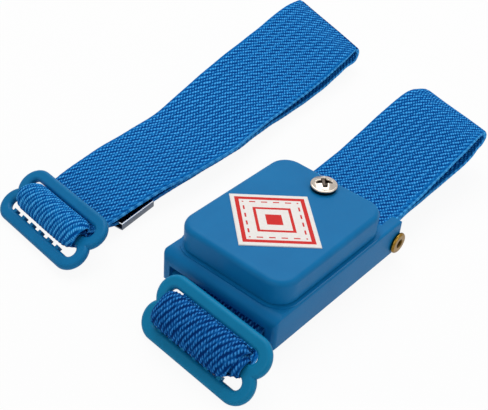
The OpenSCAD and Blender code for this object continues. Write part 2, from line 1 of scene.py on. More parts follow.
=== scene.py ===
"""A cordless grounding wrist strap and its spare band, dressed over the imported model."""

import bmesh
import bpy
import numpy as np
from mathutils import Matrix, Vector


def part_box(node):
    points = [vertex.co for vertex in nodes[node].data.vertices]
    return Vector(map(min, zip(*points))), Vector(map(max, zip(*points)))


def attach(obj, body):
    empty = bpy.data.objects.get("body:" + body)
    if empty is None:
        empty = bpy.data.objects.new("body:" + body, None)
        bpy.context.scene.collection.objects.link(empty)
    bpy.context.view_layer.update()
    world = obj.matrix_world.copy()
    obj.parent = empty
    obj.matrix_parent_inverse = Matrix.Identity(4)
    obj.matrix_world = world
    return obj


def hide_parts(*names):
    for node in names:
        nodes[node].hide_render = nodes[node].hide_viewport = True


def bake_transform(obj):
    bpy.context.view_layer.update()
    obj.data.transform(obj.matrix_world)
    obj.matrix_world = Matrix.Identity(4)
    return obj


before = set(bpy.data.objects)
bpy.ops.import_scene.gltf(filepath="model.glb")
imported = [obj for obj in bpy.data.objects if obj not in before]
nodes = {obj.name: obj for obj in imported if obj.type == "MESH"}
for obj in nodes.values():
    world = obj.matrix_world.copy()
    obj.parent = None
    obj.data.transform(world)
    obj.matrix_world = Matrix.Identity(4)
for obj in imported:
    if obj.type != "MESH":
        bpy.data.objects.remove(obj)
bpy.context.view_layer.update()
MM = 0.001


# ---- Camera ----
# It stands high in front of the slider end and looks down along both straps.

camera = bpy.data.objects.new("camera", bpy.data.cameras.new("camera"))
bpy.context.scene.collection.objects.link(camera)
bpy.context.scene.camera = camera
right = Vector((0.65289647, -0.75456789, 0.06598102))
up = Vector((0.43170456, 0.44227818, 0.78614323))
back = Vector((-0.62238041, -0.48478584, 0.61451226))
turn_of_camera = Matrix((right, up, back)).transposed().to_4x4()
camera.matrix_world = Matrix.Translation((-0.13270, -0.09217, 0.14473)) @ turn_of_camera
camera.data.lens = 70.24
camera.data.clip_start = 0.01
camera.data.clip_end = 20


# ---- Table and light ----
# A white table top under a large soft lamp above and behind, lower ones at the near side
# and in front, and a pale room round them. The table keeps a faint shadow.

def new_finish(name, **sockets):
    """A node material with its shader's sockets set by name, and the tree to draw in."""
    material = bpy.data.materials.new(name)
    material.use_nodes = True
    shader = material.node_tree.nodes["Principled BSDF"]
    for socket, value in sockets.items():
        shader.inputs[socket.replace("_", " ")].default_value = value
    return material, material.node_tree, shader


def feed(tree, kind, *inputs, **settings):
    """Adds a node and feeds its inputs in order with numbers or outputs; None skips one."""
    node = tree.nodes.new("ShaderNode" + kind)
    for setting, value in settings.items():
        setattr(node, setting, value)
    for socket, value in zip(node.inputs, inputs):
        if isinstance(value, bpy.types.NodeSocket):
            tree.links.new(value, socket)
        elif value is not None:
            socket.default_value = value
    return node.outputs[0]


def show_white(tree, shaded):
    """White where the camera looks, or glass or gloss reflects it, with a part of the shade."""
    ray = tree.nodes.new("ShaderNodeLightPath").outputs
    seen = feed(tree, "Math", ray["Is Camera Ray"], ray["Is Glossy Ray"], operation="MAXIMUM")
    seen = feed(tree, "Math", seen, ray["Is Transmission Ray"], operation="MAXIMUM")
    white = feed(tree, "Emission", (1, 1, 1, 1), 1.0)
    share = feed(tree, "Math", seen, 0.93, operation="MULTIPLY")
    return feed(tree, "MixShader", share, shaded, white)


table = bpy.data.meshes.new("table")
table.from_pydata([(-3, -3, 0), (3, -3, 0), (3, 3, 0), (-3, 3, 0)], [], [(0, 1, 2, 3)])
table_top = bpy.data.objects.new("table_top", table)
bpy.context.scene.collection.objects.link(table_top)
table_finish, tree, shader = new_finish("table white", Roughness=0.9, Specular_IOR_Level=0.0)
shader.inputs["Base Color"].default_value = (0.86, 0.86, 0.86, 1)
tree.links.new(show_white(tree, shader.outputs[0]), tree.nodes["Material Output"].inputs[0])
table.materials.append(table_finish)

room = bpy.data.worlds.new("room")
room.use_nodes = True
bpy.context.scene.world = room
tree = room.node_tree
ray = tree.nodes.new("ShaderNodeLightPath").outputs
seen = feed(tree, "Math", ray["Is Camera Ray"], ray["Is Glossy Ray"], operation="MAXIMUM")
seen = feed(tree, "Math", seen, ray["Is Transmission Ray"], operation="MAXIMUM")
level = feed(tree, "Math", seen, 0.72, 0.28, operation="MULTIPLY_ADD")
tree.links.new(level, tree.nodes["Background"].inputs["Strength"])
tree.nodes["Background"].inputs["Color"].default_value = (1, 1, 1, 1)

for name, place, size, power in [
    ("lamp_above", (0.16, 0.14, 0.46), 0.42, 1.75),
    ("lamp_near_side", (0.10, -0.45, 0.22), 0.34, 0.48),
    ("lamp_in_front", (-0.48, -0.06, 0.30), 0.36, 0.5),
]:
    lamp = bpy.data.lights.new(name, "AREA")
    lamp.size = size
    lamp.energy = power
    holder = bpy.data.objects.new(name, lamp)
    bpy.context.scene.collection.objects.link(holder)
    holder.location = place
    holder.rotation_mode = "QUATERNION"
    holder.rotation_quaternion = (Vector(place) - Vector((0.02, 0.02, 0))).to_track_quat("Z", "Y")

bpy.context.scene.view_settings.view_transform = "Standard"


# ---- Housing ----
# Two snap-fit shells moulded in blue soft-touch plastic, a low lid on a base with ears.
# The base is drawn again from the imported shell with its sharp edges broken, as moulds do.

def paint(red, green, blue):
    """A colour given in 8-bit screen values, as the linear colour a shader takes."""
    c = np.array([red, green, blue]) / 255
    return (*np.where(c < 0.04045, c / 12.92, ((c + 0.055) / 1.055) ** 2.4), 1.0)


def bump(tree, height, strength, distance, under=None):
    """A surface relief from a height, laid over the relief under it if there is one."""
    relief = tree.nodes.new("ShaderNodeBump")
    relief.inputs["Strength"].default_value = strength
    relief.inputs["Distance"].default_value = distance
    tree.links.new(height, relief.inputs["Height"])
    if under is not None:
        tree.links.new(under, relief.inputs["Normal"])
    return relief.outputs[0]


def moulded_plastic(name, deep, fresh, roughness):
    """Blue moulded plastic: slow drift between two shades, a fine grain and soft waves."""
    material, tree, shader = new_finish(name, Specular_IOR_Level=0.1)
    place = tree.nodes.new("ShaderNodeTexCoord").outputs["Object"]
    drift = feed(tree, "TexNoise", place, None, 90.0, 3.0, 0.6)
    grain = feed(tree, "TexNoise", place, None, 5200.0, 2.0, 0.5)
    waves = feed(tree, "TexNoise", place, None, 210.0, 1.0, 0.4)
    colour = feed(tree, "MixRGB", drift, deep, fresh)
    speck = feed(tree, "MixRGB", feed(tree, "Math", grain, 0.10, operation="MULTIPLY"),
                 colour, fresh)
    tree.links.new(speck, shader.inputs["Base Color"])
    matt = feed(tree, "MapRange", grain, 0.3, 0.7, roughness - 0.05, roughness + 0.08)
    tree.links.new(matt, shader.inputs["Roughness"])
    relief = bump(tree, grain, 0.2, 0.00003, bump(tree, waves, 0.25, 0.0001))
    tree.links.new(relief, shader.inputs["Normal"])
    return material


housing_finish = moulded_plastic("housing plastic", paint(6, 103, 160), paint(14, 121, 180), 0.40)
nodes["housing_lid"].data.materials[0] = housing_finish


def broken_edges(node, name, width, segments):
    """A welded copy of a packed shell, with every edge sharper than 35 degrees rounded."""
    mesh = nodes[node].data.copy()
    shell = bmesh.new()
    shell.from_mesh(mesh)
    bmesh.ops.remove_doubles(shell, verts=shell.verts, dist=1e-6)
    bmesh.ops.dissolve_limit(shell, angle_limit=0.01, verts=shell.verts, edges=shell.edges)
    bmesh.ops.recalc_face_normals(shell, faces=shell.faces)
    shell.to_mesh(mesh)
    shell.free()
    piece = bpy.data.objects.new(name, mesh)
    bpy.context.scene.collection.objects.link(piece)
    mesh.shade_smooth()
    mesh.set_sharp_from_angle(angle=0.6)
    bevel = piece.modifiers.new("broken edges", "BEVEL")
    bevel.width = width
    bevel.segments = segments
    bevel.limit_method = "ANGLE"
    bevel.angle_limit = 0.6
    bevel.use_clamp_overlap = True
    bevel.harden_normals = True
    return piece


base = broken_edges("housing_base", "base_shell", 0.35 * MM, 3)
base.data.materials[0] = housing_finish
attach(base, "housing")
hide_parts("housing_base")


# ---- Discharge contact ----
# A nickel-plated pan-head screw with a cross recess, which reaches through the lid to a
# stamped ring terminal and a nut under it.

def grid_mesh(name, points, uv=None, caps=False):
    """Turns a grid of points into a closed mesh whose columns run round, with smooth faces.

    Face (row, column) joins each point to its neighbours below and beside it; with caps
    the first and last rows are each closed by one face. Doubled points are merged."""
    rows, columns = points.shape[:2]
    number = np.arange(rows * columns).reshape(rows, columns)
    beside = np.roll(number, -1, axis=1)
    quads = np.stack([number[:-1], beside[:-1], beside[1:], number[1:]], -1).reshape(-1, 4)
    corners = quads.ravel()
    starts = np.arange(len(quads)) * 4
    if caps:
        corners = np.concatenate([corners, number[0][::-1], number[-1]])
        starts = np.concatenate([starts, [len(quads) * 4, len(quads) * 4 + columns]])
    mesh = bpy.data.meshes.new(name)
    mesh.vertices.add(rows * columns)
    mesh.vertices.foreach_set("co", points.reshape(-1).astype(np.float32))
    mesh.loops.add(len(corners))
    mesh.loops.foreach_set("vertex_index", corners.astype(np.int32))
    mesh.polygons.add(len(starts))
    mesh.polygons.foreach_set("loop_start", starts.astype(np.int32))
    if uv is not None:
        layer = mesh.uv_layers.new(name="threads")
        layer.data.foreach_set("uv", uv.reshape(-1, 2)[corners].reshape(-1).astype(np.float32))
    mesh.update(calc_edges=True)
    shell = bmesh.new()
    shell.from_mesh(mesh)
    bmesh.ops.remove_doubles(shell, verts=shell.verts, dist=2e-7)
    bmesh.ops.recalc_face_normals(shell, faces=shell.faces)
    shell.to_mesh(mesh)
    shell.free()
    mesh.shade_smooth()
    mesh.set_sharp_from_angle(angle=0.9)
    piece = bpy.data.objects.new(name, mesh)
    bpy.context.scene.collection.objects.link(piece)
    return piece


def metal(name, dull, bright, roughness, streaks):
    """Bare or plated metal: tumbled patches of two tones, and fine scratches in the finish."""
    material, tree, shader = new_finish(name, Metallic=1.0)
    place = tree.nodes.new("ShaderNodeTexCoord").outputs["Object"]
    drawn = feed(tree, "Mapping", place, None, None, streaks, vector_type="POINT")
    patches = feed(tree, "TexNoise", drawn, None, 900.0, 4.0, 0.6)
    scratch = feed(tree, "TexNoise", drawn, None, 4200.0, 2.0, 0.6)
    tree.links.new(feed(tree, "MixRGB", patches, dull, bright), shader.inputs["Base Color"])
    rough = feed(tree, "MapRange", scratch, 0.25, 0.75, roughness * 0.7, roughness * 1.4)
    tree.links.new(rough, shader.inputs["Roughness"])
    tree.links.new(bump(tree, patches, 0.3, 0.00004), shader.inputs["Normal"])
    return material


screw_finish = metal("nickel plate", paint(150, 138, 126), paint(214, 205, 194), 0.16, (1, 1, 1))
tree = screw_finish.node_tree
shader = tree.nodes["Principled BSDF"]
plated = shader.inputs["Base Color"].links[0].from_socket
depth_of_cut = tree.nodes.new("ShaderNodeUVMap")
depth_of_cut.uv_map = "threads"
cut, height = feed(tree, "SeparateXYZ", depth_of_cut.outputs[0]).node.outputs[:2]
# Painted shade and reflection: the cross recess is darkened towards near black as shade, and the
# lower flank of the head gets a painted dark reflection.
inside = feed(tree, "MapRange", cut, 0.08, 0.5, 0.0, 0.93)
painted_flank_reflection = feed(tree, "MapRange", height, 1.05, 0.7, 0.0, 0.9)
shade = feed(tree, "Math", inside, painted_flank_reflection, operation="MAXIMUM")
tree.links.new(feed(tree, "MixRGB", shade, plated, paint(34, 26, 20)), shader.inputs["Base Color"])
lid_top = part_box("label")[0].z / MM
screw_x = 14.15


def screw_surface():
    """The screw as one surface of revolution, with the cross cut into its head.

    Its outline runs up the threaded shank, out under the head, over the rim and across the dome;
    the thread is a ridge that climbs 0.7 mm a turn, and the recess lowers the dome inside two
    crossed arms that grow shallower outwards. The recess and the foot of the head are kept as a
    reading, so that the finish can paint shade into the recess and a dark reflection onto the foot
    of the head."""
    angle = np.linspace(0, 2 * np.pi, 241)[:-1]
    shank = np.linspace(-11, -0.1, 110)
    rim = np.linspace(0, np.pi / 2, 10)
    dome = np.linspace(1, 0, 70)
    radius = np.concatenate([[0, 0.9, 1.2], np.full(110, 1.43), [1.45, 2.3, 2.95],
                             2.8 + 0.32 * np.cos(rim), 2.8 * dome])
    height = np.concatenate([[-11, -11, -11], shank, [0, 0, 0],
                             0.85 + 0.32 * np.sin(rim), 1.17 + 0.78 * (1 - dome ** 2)])
    r, a = np.meshgrid(radius, angle, indexing="ij")
    z = np.repeat(height[:, None], len(angle), axis=1)
    on_shank = ((z > -10.9) & (z < -0.2)).astype(float)
    turn = z / 0.7 - a / (2 * np.pi)
    r = r - on_shank * 0.22 * np.abs(2 * (turn - np.floor(turn)) - 1)
    x, y = r * np.cos(a), r * np.sin(a)
    p, q = (x + y) / np.sqrt(2), (x - y) / np.sqrt(2)

    def arm(along, across):
        half = 0.62 - 0.10 * np.abs(along)
        return (1 / (1 + np.exp((np.abs(across) - half) / 0.045))
                / (1 + np.exp((np.abs(along) - 1.8) / 0.06)))

    cut = np.maximum(np.maximum(arm(p, q), arm(q, p)), 1 / (1 + np.exp((r - 0.8) / 0.05)))
    depth = 1.45 - 0.55 * np.minimum(r, 1.75)
    sunk = np.where(z > 1.0, cut * depth, 0)
    reading = np.stack([sunk, np.minimum(z, 1.2)], -1)
    return np.stack([x + screw_x, y, z - sunk + lid_top], -1) * MM, reading


points, cut_and_height = screw_surface()
screw = grid_mesh("contact_screw", points, cut_and_height)
screw.data.materials.append(screw_finish)
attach(screw, "housing")
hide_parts("discharge_screw")

nodes["hex_nut"].data.materials[0] = metal("nickel nut", paint(150, 138, 126),
                                           paint(214, 205, 194), 0.2, (1, 1, 1))
brass_finish = metal("stamped brass", paint(168, 132, 66), paint(224, 190, 116), 0.3, (1, 5, 1))
nodes["ring_terminal"].data.materials[0] = brass_finish
nodes["rivet_terminal"].data.materials[0] = brass_finish


# ---- Resistor ----
# A one megohm lacquered resistor on tinned leads, between the screw and the rivet.

resistor_finish, tree, shader = new_finish("resistor lacquer", Roughness=0.3)
place = tree.nodes.new("ShaderNodeTexCoord").outputs["Object"]
along = feed(tree, "SeparateXYZ", place)
bands = tree.nodes.new("ShaderNodeValToRGB")
bands.color_ramp.interpolation = "CONSTANT"
body = paint(214, 186, 140)
stops = [(0.0, body), (0.12, paint(92, 50, 24)), (0.22, body), (0.32, paint(12, 12, 12)),
         (0.42, body), (0.52, paint(40, 120, 60)), (0.62, body), (0.80, paint(190, 150, 60)),
         (0.90, body)]
while len(bands.color_ramp.elements) < len(stops):
    bands.color_ramp.elements.new(0.5)
for element, (position, colour) in zip(bands.color_ramp.elements, stops):
    element.position = position
    element.color = colour
low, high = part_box("resistor")
share = feed(tree, "MapRange", along.node.outputs[1], low.y, high.y, 0.0, 1.0)
tree.links.new(share, bands.inputs[0])
tree.links.new(bands.outputs[0], shader.inputs["Base Color"])
nodes["resistor"].data.materials[0] = resistor_finish
nodes["resistor_leads"].data.materials[0] = metal("tinned wire", paint(170, 170, 172),
                                                  paint(214, 214, 216), 0.3, (1, 1, 1))


# ---- Rivet ----
# A tubular brass rivet through both rear ears, its ends rolled over on the outside.

rivet_axis = (23.2, 0, 5.4)
rivet_finish = metal("rivet brass", paint(64, 44, 12), paint(178, 138, 58), 0.16, (1, 1, 1))
tree = rivet_finish.node_tree
shader = tree.nodes["Principled BSDF"]
tumbled = shader.inputs["Base Color"].links[0].from_socket
place = tree.nodes.new("ShaderNodeTexCoord").outputs["Object"]
on_axis = feed(tree, "VectorMath", place, (1000, 0, 1000), operation="MULTIPLY")
from_axis = feed(tree, "VectorMath", on_axis, rivet_axis, operation="DISTANCE").node.outputs[1]
# Painted shade: inside the rivet's bore, near the axis, the brass is darkened to near black.
painted_bore_shade = feed(tree, "MapRange", from_axis, 1.3, 0.9, 0.0, 0.95)
tree.links.new(feed(tree, "MixRGB", painted_bore_shade, tumbled, paint(24, 16, 6)), shader.inputs["Base Color"])
nodes["strap_rivet"].data.materials[0] = rivet_finish


# ---- Label ----
# A printed rhombus of white film in red: a frame, a ring of dashes, an inner line and a
# small rhombus in the middle, and no words.

film_finish, tree, shader = new_finish("printed film", Roughness=0.35, Specular_IOR_Level=0.15)
uv = tree.nodes.new("ShaderNodeUVMap")
uv.uv_map = "threads"
sides = feed(tree, "SeparateXYZ", uv.outputs[0]).node.outputs
half_side = 8.64


def between(tree, value, low, high):
    """1 where the value lies between two bounds, else 0."""
    above = feed(tree, "Math", value, low, operation="GREATER_THAN")
    below = feed(tree, "Math", value, high, operation="LESS_THAN")
    return feed(tree, "Math", above, below, operation="MULTIPLY")


inset = [feed(tree, "Math", half_side, feed(tree, "Math", side, operation="ABSOLUTE"),
              operation="SUBTRACT") for side in (sides[0], sides[1])]
nearest = feed(tree, "Math", inset[0], inset[1], operation="MINIMUM")
frame_line = between(tree, nearest, 0.95, 1.85)
inner_line = between(tree, nearest, 4.5, 5.15)
spaced = [between(tree, feed(tree, "Math", side, 1.3, operation="PINGPONG"), 0.62, 1.3)
          for side in (sides[0], sides[1])]
dashes = feed(tree, "Math", spaced[0], spaced[1], operation="MULTIPLY")
dashes = feed(tree, "Math", dashes, between(tree, nearest, 2.45, 3.95), operation="MULTIPLY")
middle = feed(tree, "Math", nearest, 6.9, operation="GREATER_THAN")
ink = feed(tree, "Math", feed(tree, "Math", frame_line, inner_line, operation="ADD"),
           feed(tree, "Math", dashes, middle, operation="ADD"), operation="ADD")
place = tree.nodes.new("ShaderNodeTexCoord").outputs["Object"]
patchy = feed(tree, "TexNoise", place, None, 2500.0, 2.0, 0.5)
red = feed(tree, "MixRGB", patchy, paint(196, 10, 8), paint(222, 26, 18))
paper = feed(tree, "MixRGB", patchy, paint(232, 227, 222), paint(246, 243, 240))
tree.links.new(feed(tree, "MixRGB", ink, paper, red), shader.inputs["Base Color"])


def label_surface():
    """The film's upper face from the middle out to the edge, then down its cut side.

    A point is the middle plus a share of each of two edge directions; rings shrink
    towards the middle, and the last two drop to the lid."""
    side = np.array([[-11.6, 12.95], [-11.6, -12.95]]) / 2
    lap = np.linspace(-1, 1, 41)[:-1]
    square = np.concatenate([np.stack([lap, -np.ones(40)], 1), np.stack([np.ones(40), lap], 1),
                             np.stack([-lap, np.ones(40)], 1), np.stack([-np.ones(40), -lap], 1)])
    reach = np.concatenate([np.linspace(0, 0.995, 30), [1.0, 1.0, 0.5, 0.0]])
    height = np.concatenate([np.full(30, 0.25), [0.2, 0.0, 0.0, 0.0]])
    s = reach[:, None, None] * square[None]
    flat = s @ side + np.array([-3.0, 0.35])
    z = np.repeat(height[:, None, None], 160, axis=1) + lid_top
    return np.concatenate([flat, z], -1) * MM, s * half_side


points, uv_of_label = label_surface()
label = grid_mesh("label_film", points, uv_of_label)
label.data.materials.append(film_finish)
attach(label, "housing")
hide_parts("label")


# ---- Elastic bands ----
# Each band is one length of knitted elastic webbing 25.4 mm wide, with slanting rows of
# raised stitches and a plain selvedge. Its middle line runs through stations of place,
# turn, roll, width, thickness and stretch, all in millimetres and degrees.

def lay_band(stations):
    """The band's middle line through its stations, as dense arrays.

    Between two stations every column is a Catmull-Rom cubic of its four neighbours. The
    width points along the turned and rolled Y axis, and up is ahead times width. The
    threads' own length grows by the distance over the stretch."""
    p = np.array(stations, float)
    p = np.vstack([p[:1], p, p[-1:]])
    t = np.linspace(0, len(stations) - 1, 60 * (len(stations) - 1) + 1)
    i = np.minimum(t.astype(int), len(stations) - 2)
    f = (t - i)[:, None]
    a, b, c, d = p[i], p[i + 1], p[i + 2], p[i + 3]
    q = 0.5 * (2 * b + (c - a) * f + (2 * a - 5 * b + 4 * c - d) * f ** 2
               + (3 * b - a - 3 * c + d) * f ** 3)
    yaw, roll = np.radians(q[:, 3]), np.radians(q[:, 4])
    q[:, 2] = np.maximum(q[:, 2], q[:, 6] / 2 + q[:, 5] / 2 * np.abs(np.sin(roll)))
    width = np.stack([-np.sin(yaw) * np.cos(roll), np.cos(yaw) * np.cos(roll), np.sin(roll)], 1)
    ahead = np.gradient(q[:, :3], axis=0)
    ahead /= np.linalg.norm(ahead, axis=1)[:, None]
    upward = np.cross(ahead, width)
    upward /= np.linalg.norm(upward, axis=1)[:, None]
    step = np.linalg.norm(np.diff(q[:, :3], axis=0), axis=1)
    length = np.concatenate([[0], np.cumsum(step)])
    threads = np.concatenate([[0], np.cumsum(step / (q[1:, 7] + q[:-1, 7]) * 2)])
    return {"t": t, "length": length, "columns": np.hstack([
        q[:, :3], width, upward, q[:, 5:7], threads[:, None]])}


half_width = 12.7


def webbing(name, band, start, end, relief, swell=None, step=0.3, across=84, rounding=0.0,
            selvedge=11.0, knots=0.0):
    """A closed strip of the band between two stations.

    Its section is a flat bar with round edges, carried along the middle line. Slanting
    rows stand up from both faces by a cosine of 0.547 turns for each millimetre of thread
    plus 0.762 across, and low waves keep the band from lying dead flat. The edges thin out
    over half the thickness, or over a longer rounding where one is given. Knots dent the
    rows by a share of their relief, 2.5 times for each millimetre of thread."""
    from_length, to_length = np.interp([start, end], band["t"], band["length"])
    count = int((to_length - from_length) / step) + 2
    s = np.linspace(from_length, to_length, count)
    c = np.stack([np.interp(s, band["length"], column) for column in band["columns"].T], 1)
    middle, width_way, upward = c[:, None, 0:3], c[:, None, 3:6], c[:, None, 6:9]
    wide, thick, threads = c[:, 9:10], c[:, 10:11], c[:, 11:12]
    edge = np.array([0.0, 0.04, 0.15, 0.32, 0.6, 0.9, 1.4]) / half_width
    inner = np.linspace(-1 + edge[-1], 1 - edge[-1], across)
    v = np.concatenate([-1 + edge[:-1], inner, 1 - edge[:-1][::-1]])
    v = np.concatenate([v, v[-2:0:-1]])[None]
    face = np.concatenate([np.ones(across + 12), -np.ones(across + 10)])[None]
    rim = 1 - np.minimum((1 - np.abs(v)) * wide / 2 / np.maximum(thick / 2, rounding), 1)
    half = thick / 2 * np.sqrt(np.maximum(1 - rim ** 2, 0))
    from_middle = v * half_width
    phase = threads * 0.547 + from_middle * 0.762
    plain = np.clip((np.abs(from_middle) - selvedge) / 0.5, 0, 1)
    row = (1 - plain) * (-0.5 + 0.5 * np.cos(2 * np.pi * phase))
    rib = plain * 0.25 * (np.sin(2 * np.pi * phase) - 1)
    unsteady = 0.8 * np.sin(v * 31 + threads * 2)
    dent = np.sin(2 * np.pi * (threads * 2.5 - from_middle * 1.1) + unsteady)
    row = row + (1 - plain) * knots * (dent - 1) / 2 * (1 + row)
    height = face * (half + relief * (row + rib))
    wave = 0.10 * np.sin(threads / 2.3 + v * 2.1) * np.sin(threads / 5.1 + 1.3 + v)
    if swell is not None:
        height = height + swell(s - from_length, v)
    points = middle + width_way * (v * wide / 2)[..., None] + upward * (height + wave)[..., None]
    points[..., 2] = np.maximum(points[..., 2], 0.01)
    uv = np.stack(np.broadcast_arrays(threads, from_middle), -1)
    return grid_mesh(name, points * MM, uv, caps=True)


def webbing_finish(name, groove_shade, ridge, tip_highlight, lift, beads=(1.016, -1.094), selvedge=11.4):
    """Elastic webbing: rows of raised beads 1.07 mm apart that lean 36 degrees.

    Each pattern is a cosine of so many turns a millimetre along the threads and across.
    The rows are split into beads by a finer counter-slant, and broken up by lengthwise cords 2.3
    mm apart and a steeper cross pattern. The colour follows the height: bead tops carry a painted
    highlight and the ground between the rows painted shade, and the selvedge is plain but for the
    ends of the rows and a painted highlight along its outer edge."""
    material, tree, shader = new_finish(name, Roughness=0.85, Specular_IOR_Level=0.05,
                                        Sheen_Weight=0.04, Sheen_Roughness=0.4)
    shader.inputs["Sheen Tint"].default_value = paint(90, 170, 255)
    uv = tree.nodes.new("ShaderNodeUVMap")
    uv.uv_map = "threads"
    along, across = feed(tree, "SeparateXYZ", uv.outputs[0]).node.outputs[:2]

    def reckon(operation, *values):
        return feed(tree, "Math", *values, operation=operation)

    def ripple(turns_along, turns_across, depth):
        sideways = reckon("MULTIPLY", swaying, 2 * np.pi * turns_across)
        turns = reckon("MULTIPLY_ADD", along, 2 * np.pi * turns_along, sideways)
        return reckon("MULTIPLY", reckon("COSINE", turns), depth)

    unsteady = feed(tree, "TexNoise", uv.outputs[0], None, 0.55, 2.0, 0.6)
    swaying = reckon("ADD", across, reckon("MULTIPLY_ADD", unsteady, 0.6, -0.3))
    row = reckon("ADD", ripple(0.547, 0.762, 0.5), 0.5)
    bead = reckon("ADD", ripple(*beads, 0.4), 0.6)
    knot = reckon("MULTIPLY", row, bead)
    drift = reckon("ADD", ripple(0.527, 0.332, 0.14), ripple(0.0, 0.437, 0.10))
    drift = reckon("ADD", drift, ripple(0.498, -0.986, 0.10))
    fuzz = feed(tree, "TexNoise", uv.outputs[0], None, 2.4, 2.0, 0.65)
    drift = reckon("ADD", drift, reckon("MULTIPLY_ADD", fuzz, 1.0, -0.5))
    woven = reckon("ADD", knot, reckon("MULTIPLY", drift, 0.9))
    from_edge = reckon("ABSOLUTE", across)
    plain = feed(tree, "MapRange", from_edge, selvedge, selvedge + 0.6, 0.0, 1.0)
    ends = reckon("ADD", reckon("MULTIPLY_ADD", row, 0.3, 0.13), reckon("MULTIPLY", drift, 0.5))
    # Painted highlight: the outermost strip of the selvedge is raised in height, which lifts it in
    # the bump and also paints it brighter through the ramp.
    edge_highlight_and_lift = reckon("MULTIPLY", reckon("GREATER_THAN", from_edge, 12.42), 0.45)
    height = reckon("ADD", reckon("MULTIPLY", woven, reckon("SUBTRACT", 1.0, plain)),
                    reckon("MULTIPLY", reckon("ADD", ends, edge_highlight_and_lift), plain))
    # The ramp paints the yarn's blue darker as shade in the low ground between the rows, and
    # lighter as a highlight on the bead tops.
    ramp = tree.nodes.new("ShaderNodeValToRGB")
    ramp.color_ramp.elements[0].position = 0.02
    ramp.color_ramp.elements[0].color = groove_shade
    ramp.color_ramp.elements[1].position = 0.92
    ramp.color_ramp.elements[1].color = tip_highlight
    ramp.color_ramp.elements.new(0.36).color = ridge
    tree.links.new(height, ramp.inputs[0])
    tree.links.new(ramp.outputs[0], shader.inputs["Base Color"])
    tree.links.new(bump(tree, height, lift, 0.00012), shader.inputs["Normal"])
    return material


band_finish = webbing_finish("elastic webbing", paint(0, 60, 132), paint(8, 112, 190),
                             paint(78, 180, 248), 0.6)
# Lit and shaded copies of the drawn-tight webbing: this one has its colours painted darker as
# shade, the next painted lighter as lit. They also differ in beads and relief.
shaded_tight_webbing = webbing_finish("tight webbing, painted shade", paint(0, 46, 108), paint(10, 92, 166),
                             paint(66, 154, 226), 0.9, (2.5, -1.1), 12.3)
lit_tight_webbing = webbing_finish("tight webbing, painted lit", paint(0, 74, 150),
                                    paint(14, 126, 202), paint(92, 190, 255), 0.8,
                                    (3.2, -1.3), 12.3)


def arc(x, y, z, radius, first, last, steps, *rest):
    """Stations on an arc in the XZ plane, between two angles in degrees."""
    angle = np.radians(np.linspace(first, last, steps + 1))
    rest = np.broadcast_to(np.array(rest, float), (steps + 1, len(rest)))
    return np.column_stack([x + radius * np.cos(angle), np.full(steps + 1, y),
                            z + radius * np.sin(angle), rest])


def round_slider(at, yaw, roll, radii, first, last, steps, shifts, stretch, widths=(20.4,),
                 depths=(1.1,)):
    """Stations round a slider's bar, which runs along Y turned by yaw and rolled by roll.

    The angle goes evenly from first to last. The radius, the place along the bar, the
    width and the thickness each run through their own evenly spaced values meanwhile."""
    share = np.linspace(0, 1, steps + 1)
    angle = np.radians(first + (last - first) * share)
    radius, along, wide, thick = [np.interp(share, np.linspace(0, 1, len(values)), values)
                                  for values in (radii, shifts, widths, depths)]
    across_x, h = radius * np.cos(angle), radius * np.sin(angle)
    yaw_r, roll_r = np.radians(yaw), np.radians(roll)
    b = along * np.cos(roll_r) - h * np.sin(roll_r)
    same = np.ones(steps + 1)
    return np.column_stack([
        at[0] + across_x * np.cos(yaw_r) - b * np.sin(yaw_r),
        at[1] + across_x * np.sin(yaw_r) + b * np.cos(yaw_r),
        at[2] + along * np.sin(roll_r) + h * np.cos(roll_r),
        same * yaw, same * roll, wide, thick, same * stretch])


def tucked_edges(depth, reach):
    """Lowers both edges of a wrap between its ends, by a square that starts at that reach."""
    def swell(s, v):
        inside = np.sin(np.pi * np.clip(s / s.max(), 0, 1)) ** 0.5
        return -depth * inside[:, None] * np.clip((np.abs(v) - reach) / (1 - reach), 0, 1) ** 2
    return swell


# ---- Main band ----
# Its sewn end is drawn round the slider's bar, it loops through the window in the
# housing, round the slider's bar again, under the housing and out to the fold, and ends
# in a tail stitched round the rivet.

slider_at = (-30.55, -5.5, 5.9217)
free = (25.4, 1.4, 1.0)
drawn = (20.4, 1.1, 1.9)
tail = [[32.8, 0.3, 6.2, 0, 0, *free], [29.8, 0.3, 6.1, 0, 0, *free],
        [26.8, 0.1, 4.8, 0, 0, *free]]
rivet_turn = arc(*rivet_axis, 2.0, 285, 90, 8, 0, 0, *free)
over = [[27.2, 0, 7.6, 0, 0, *free], [31.2, 0.1, 7.7, 0, 0, *free],
        [36.2, 0.2, 8.0, 0, 0, *free], [42, 0.35, 8.7, 0, 0, *free],
        [50, 0.3, 10.4, -1, 0, *free], [58, 0.2, 12.1, -3, 0.5, *free],
        [63, 0.1, 13.1, -7, 1, *free], [67.2, 0.1, 13.4, -13, 1.3, *free]]
fold = arc(69.9, 0.2, 11.2, 2.1, 90, -90, 6, -16, 1.5, *free)
fold[:, 5] -= (1.6, 2.6, 3.8, 4.6, 3.6, 2.2, 1.0)
fold[:, 1] -= (25.4 - fold[:, 5]) / 2
under = [[66, 0.5, 7.6, -10, 1.5, *free], [62, 1.4, 5.2, -8, 1, *free],
         [56, 2.6, 2.9, -6, 0.5, *free], [48, 3.4, 1.1, -2, 0, *free],
         [41, 3.5, 0.7, 0, 0, *free], [34, 3.2, 0.7, 2, 0, *free]]
joint = [[rivet_axis[0], 2.5, 0.7, 4, 0, *free]]
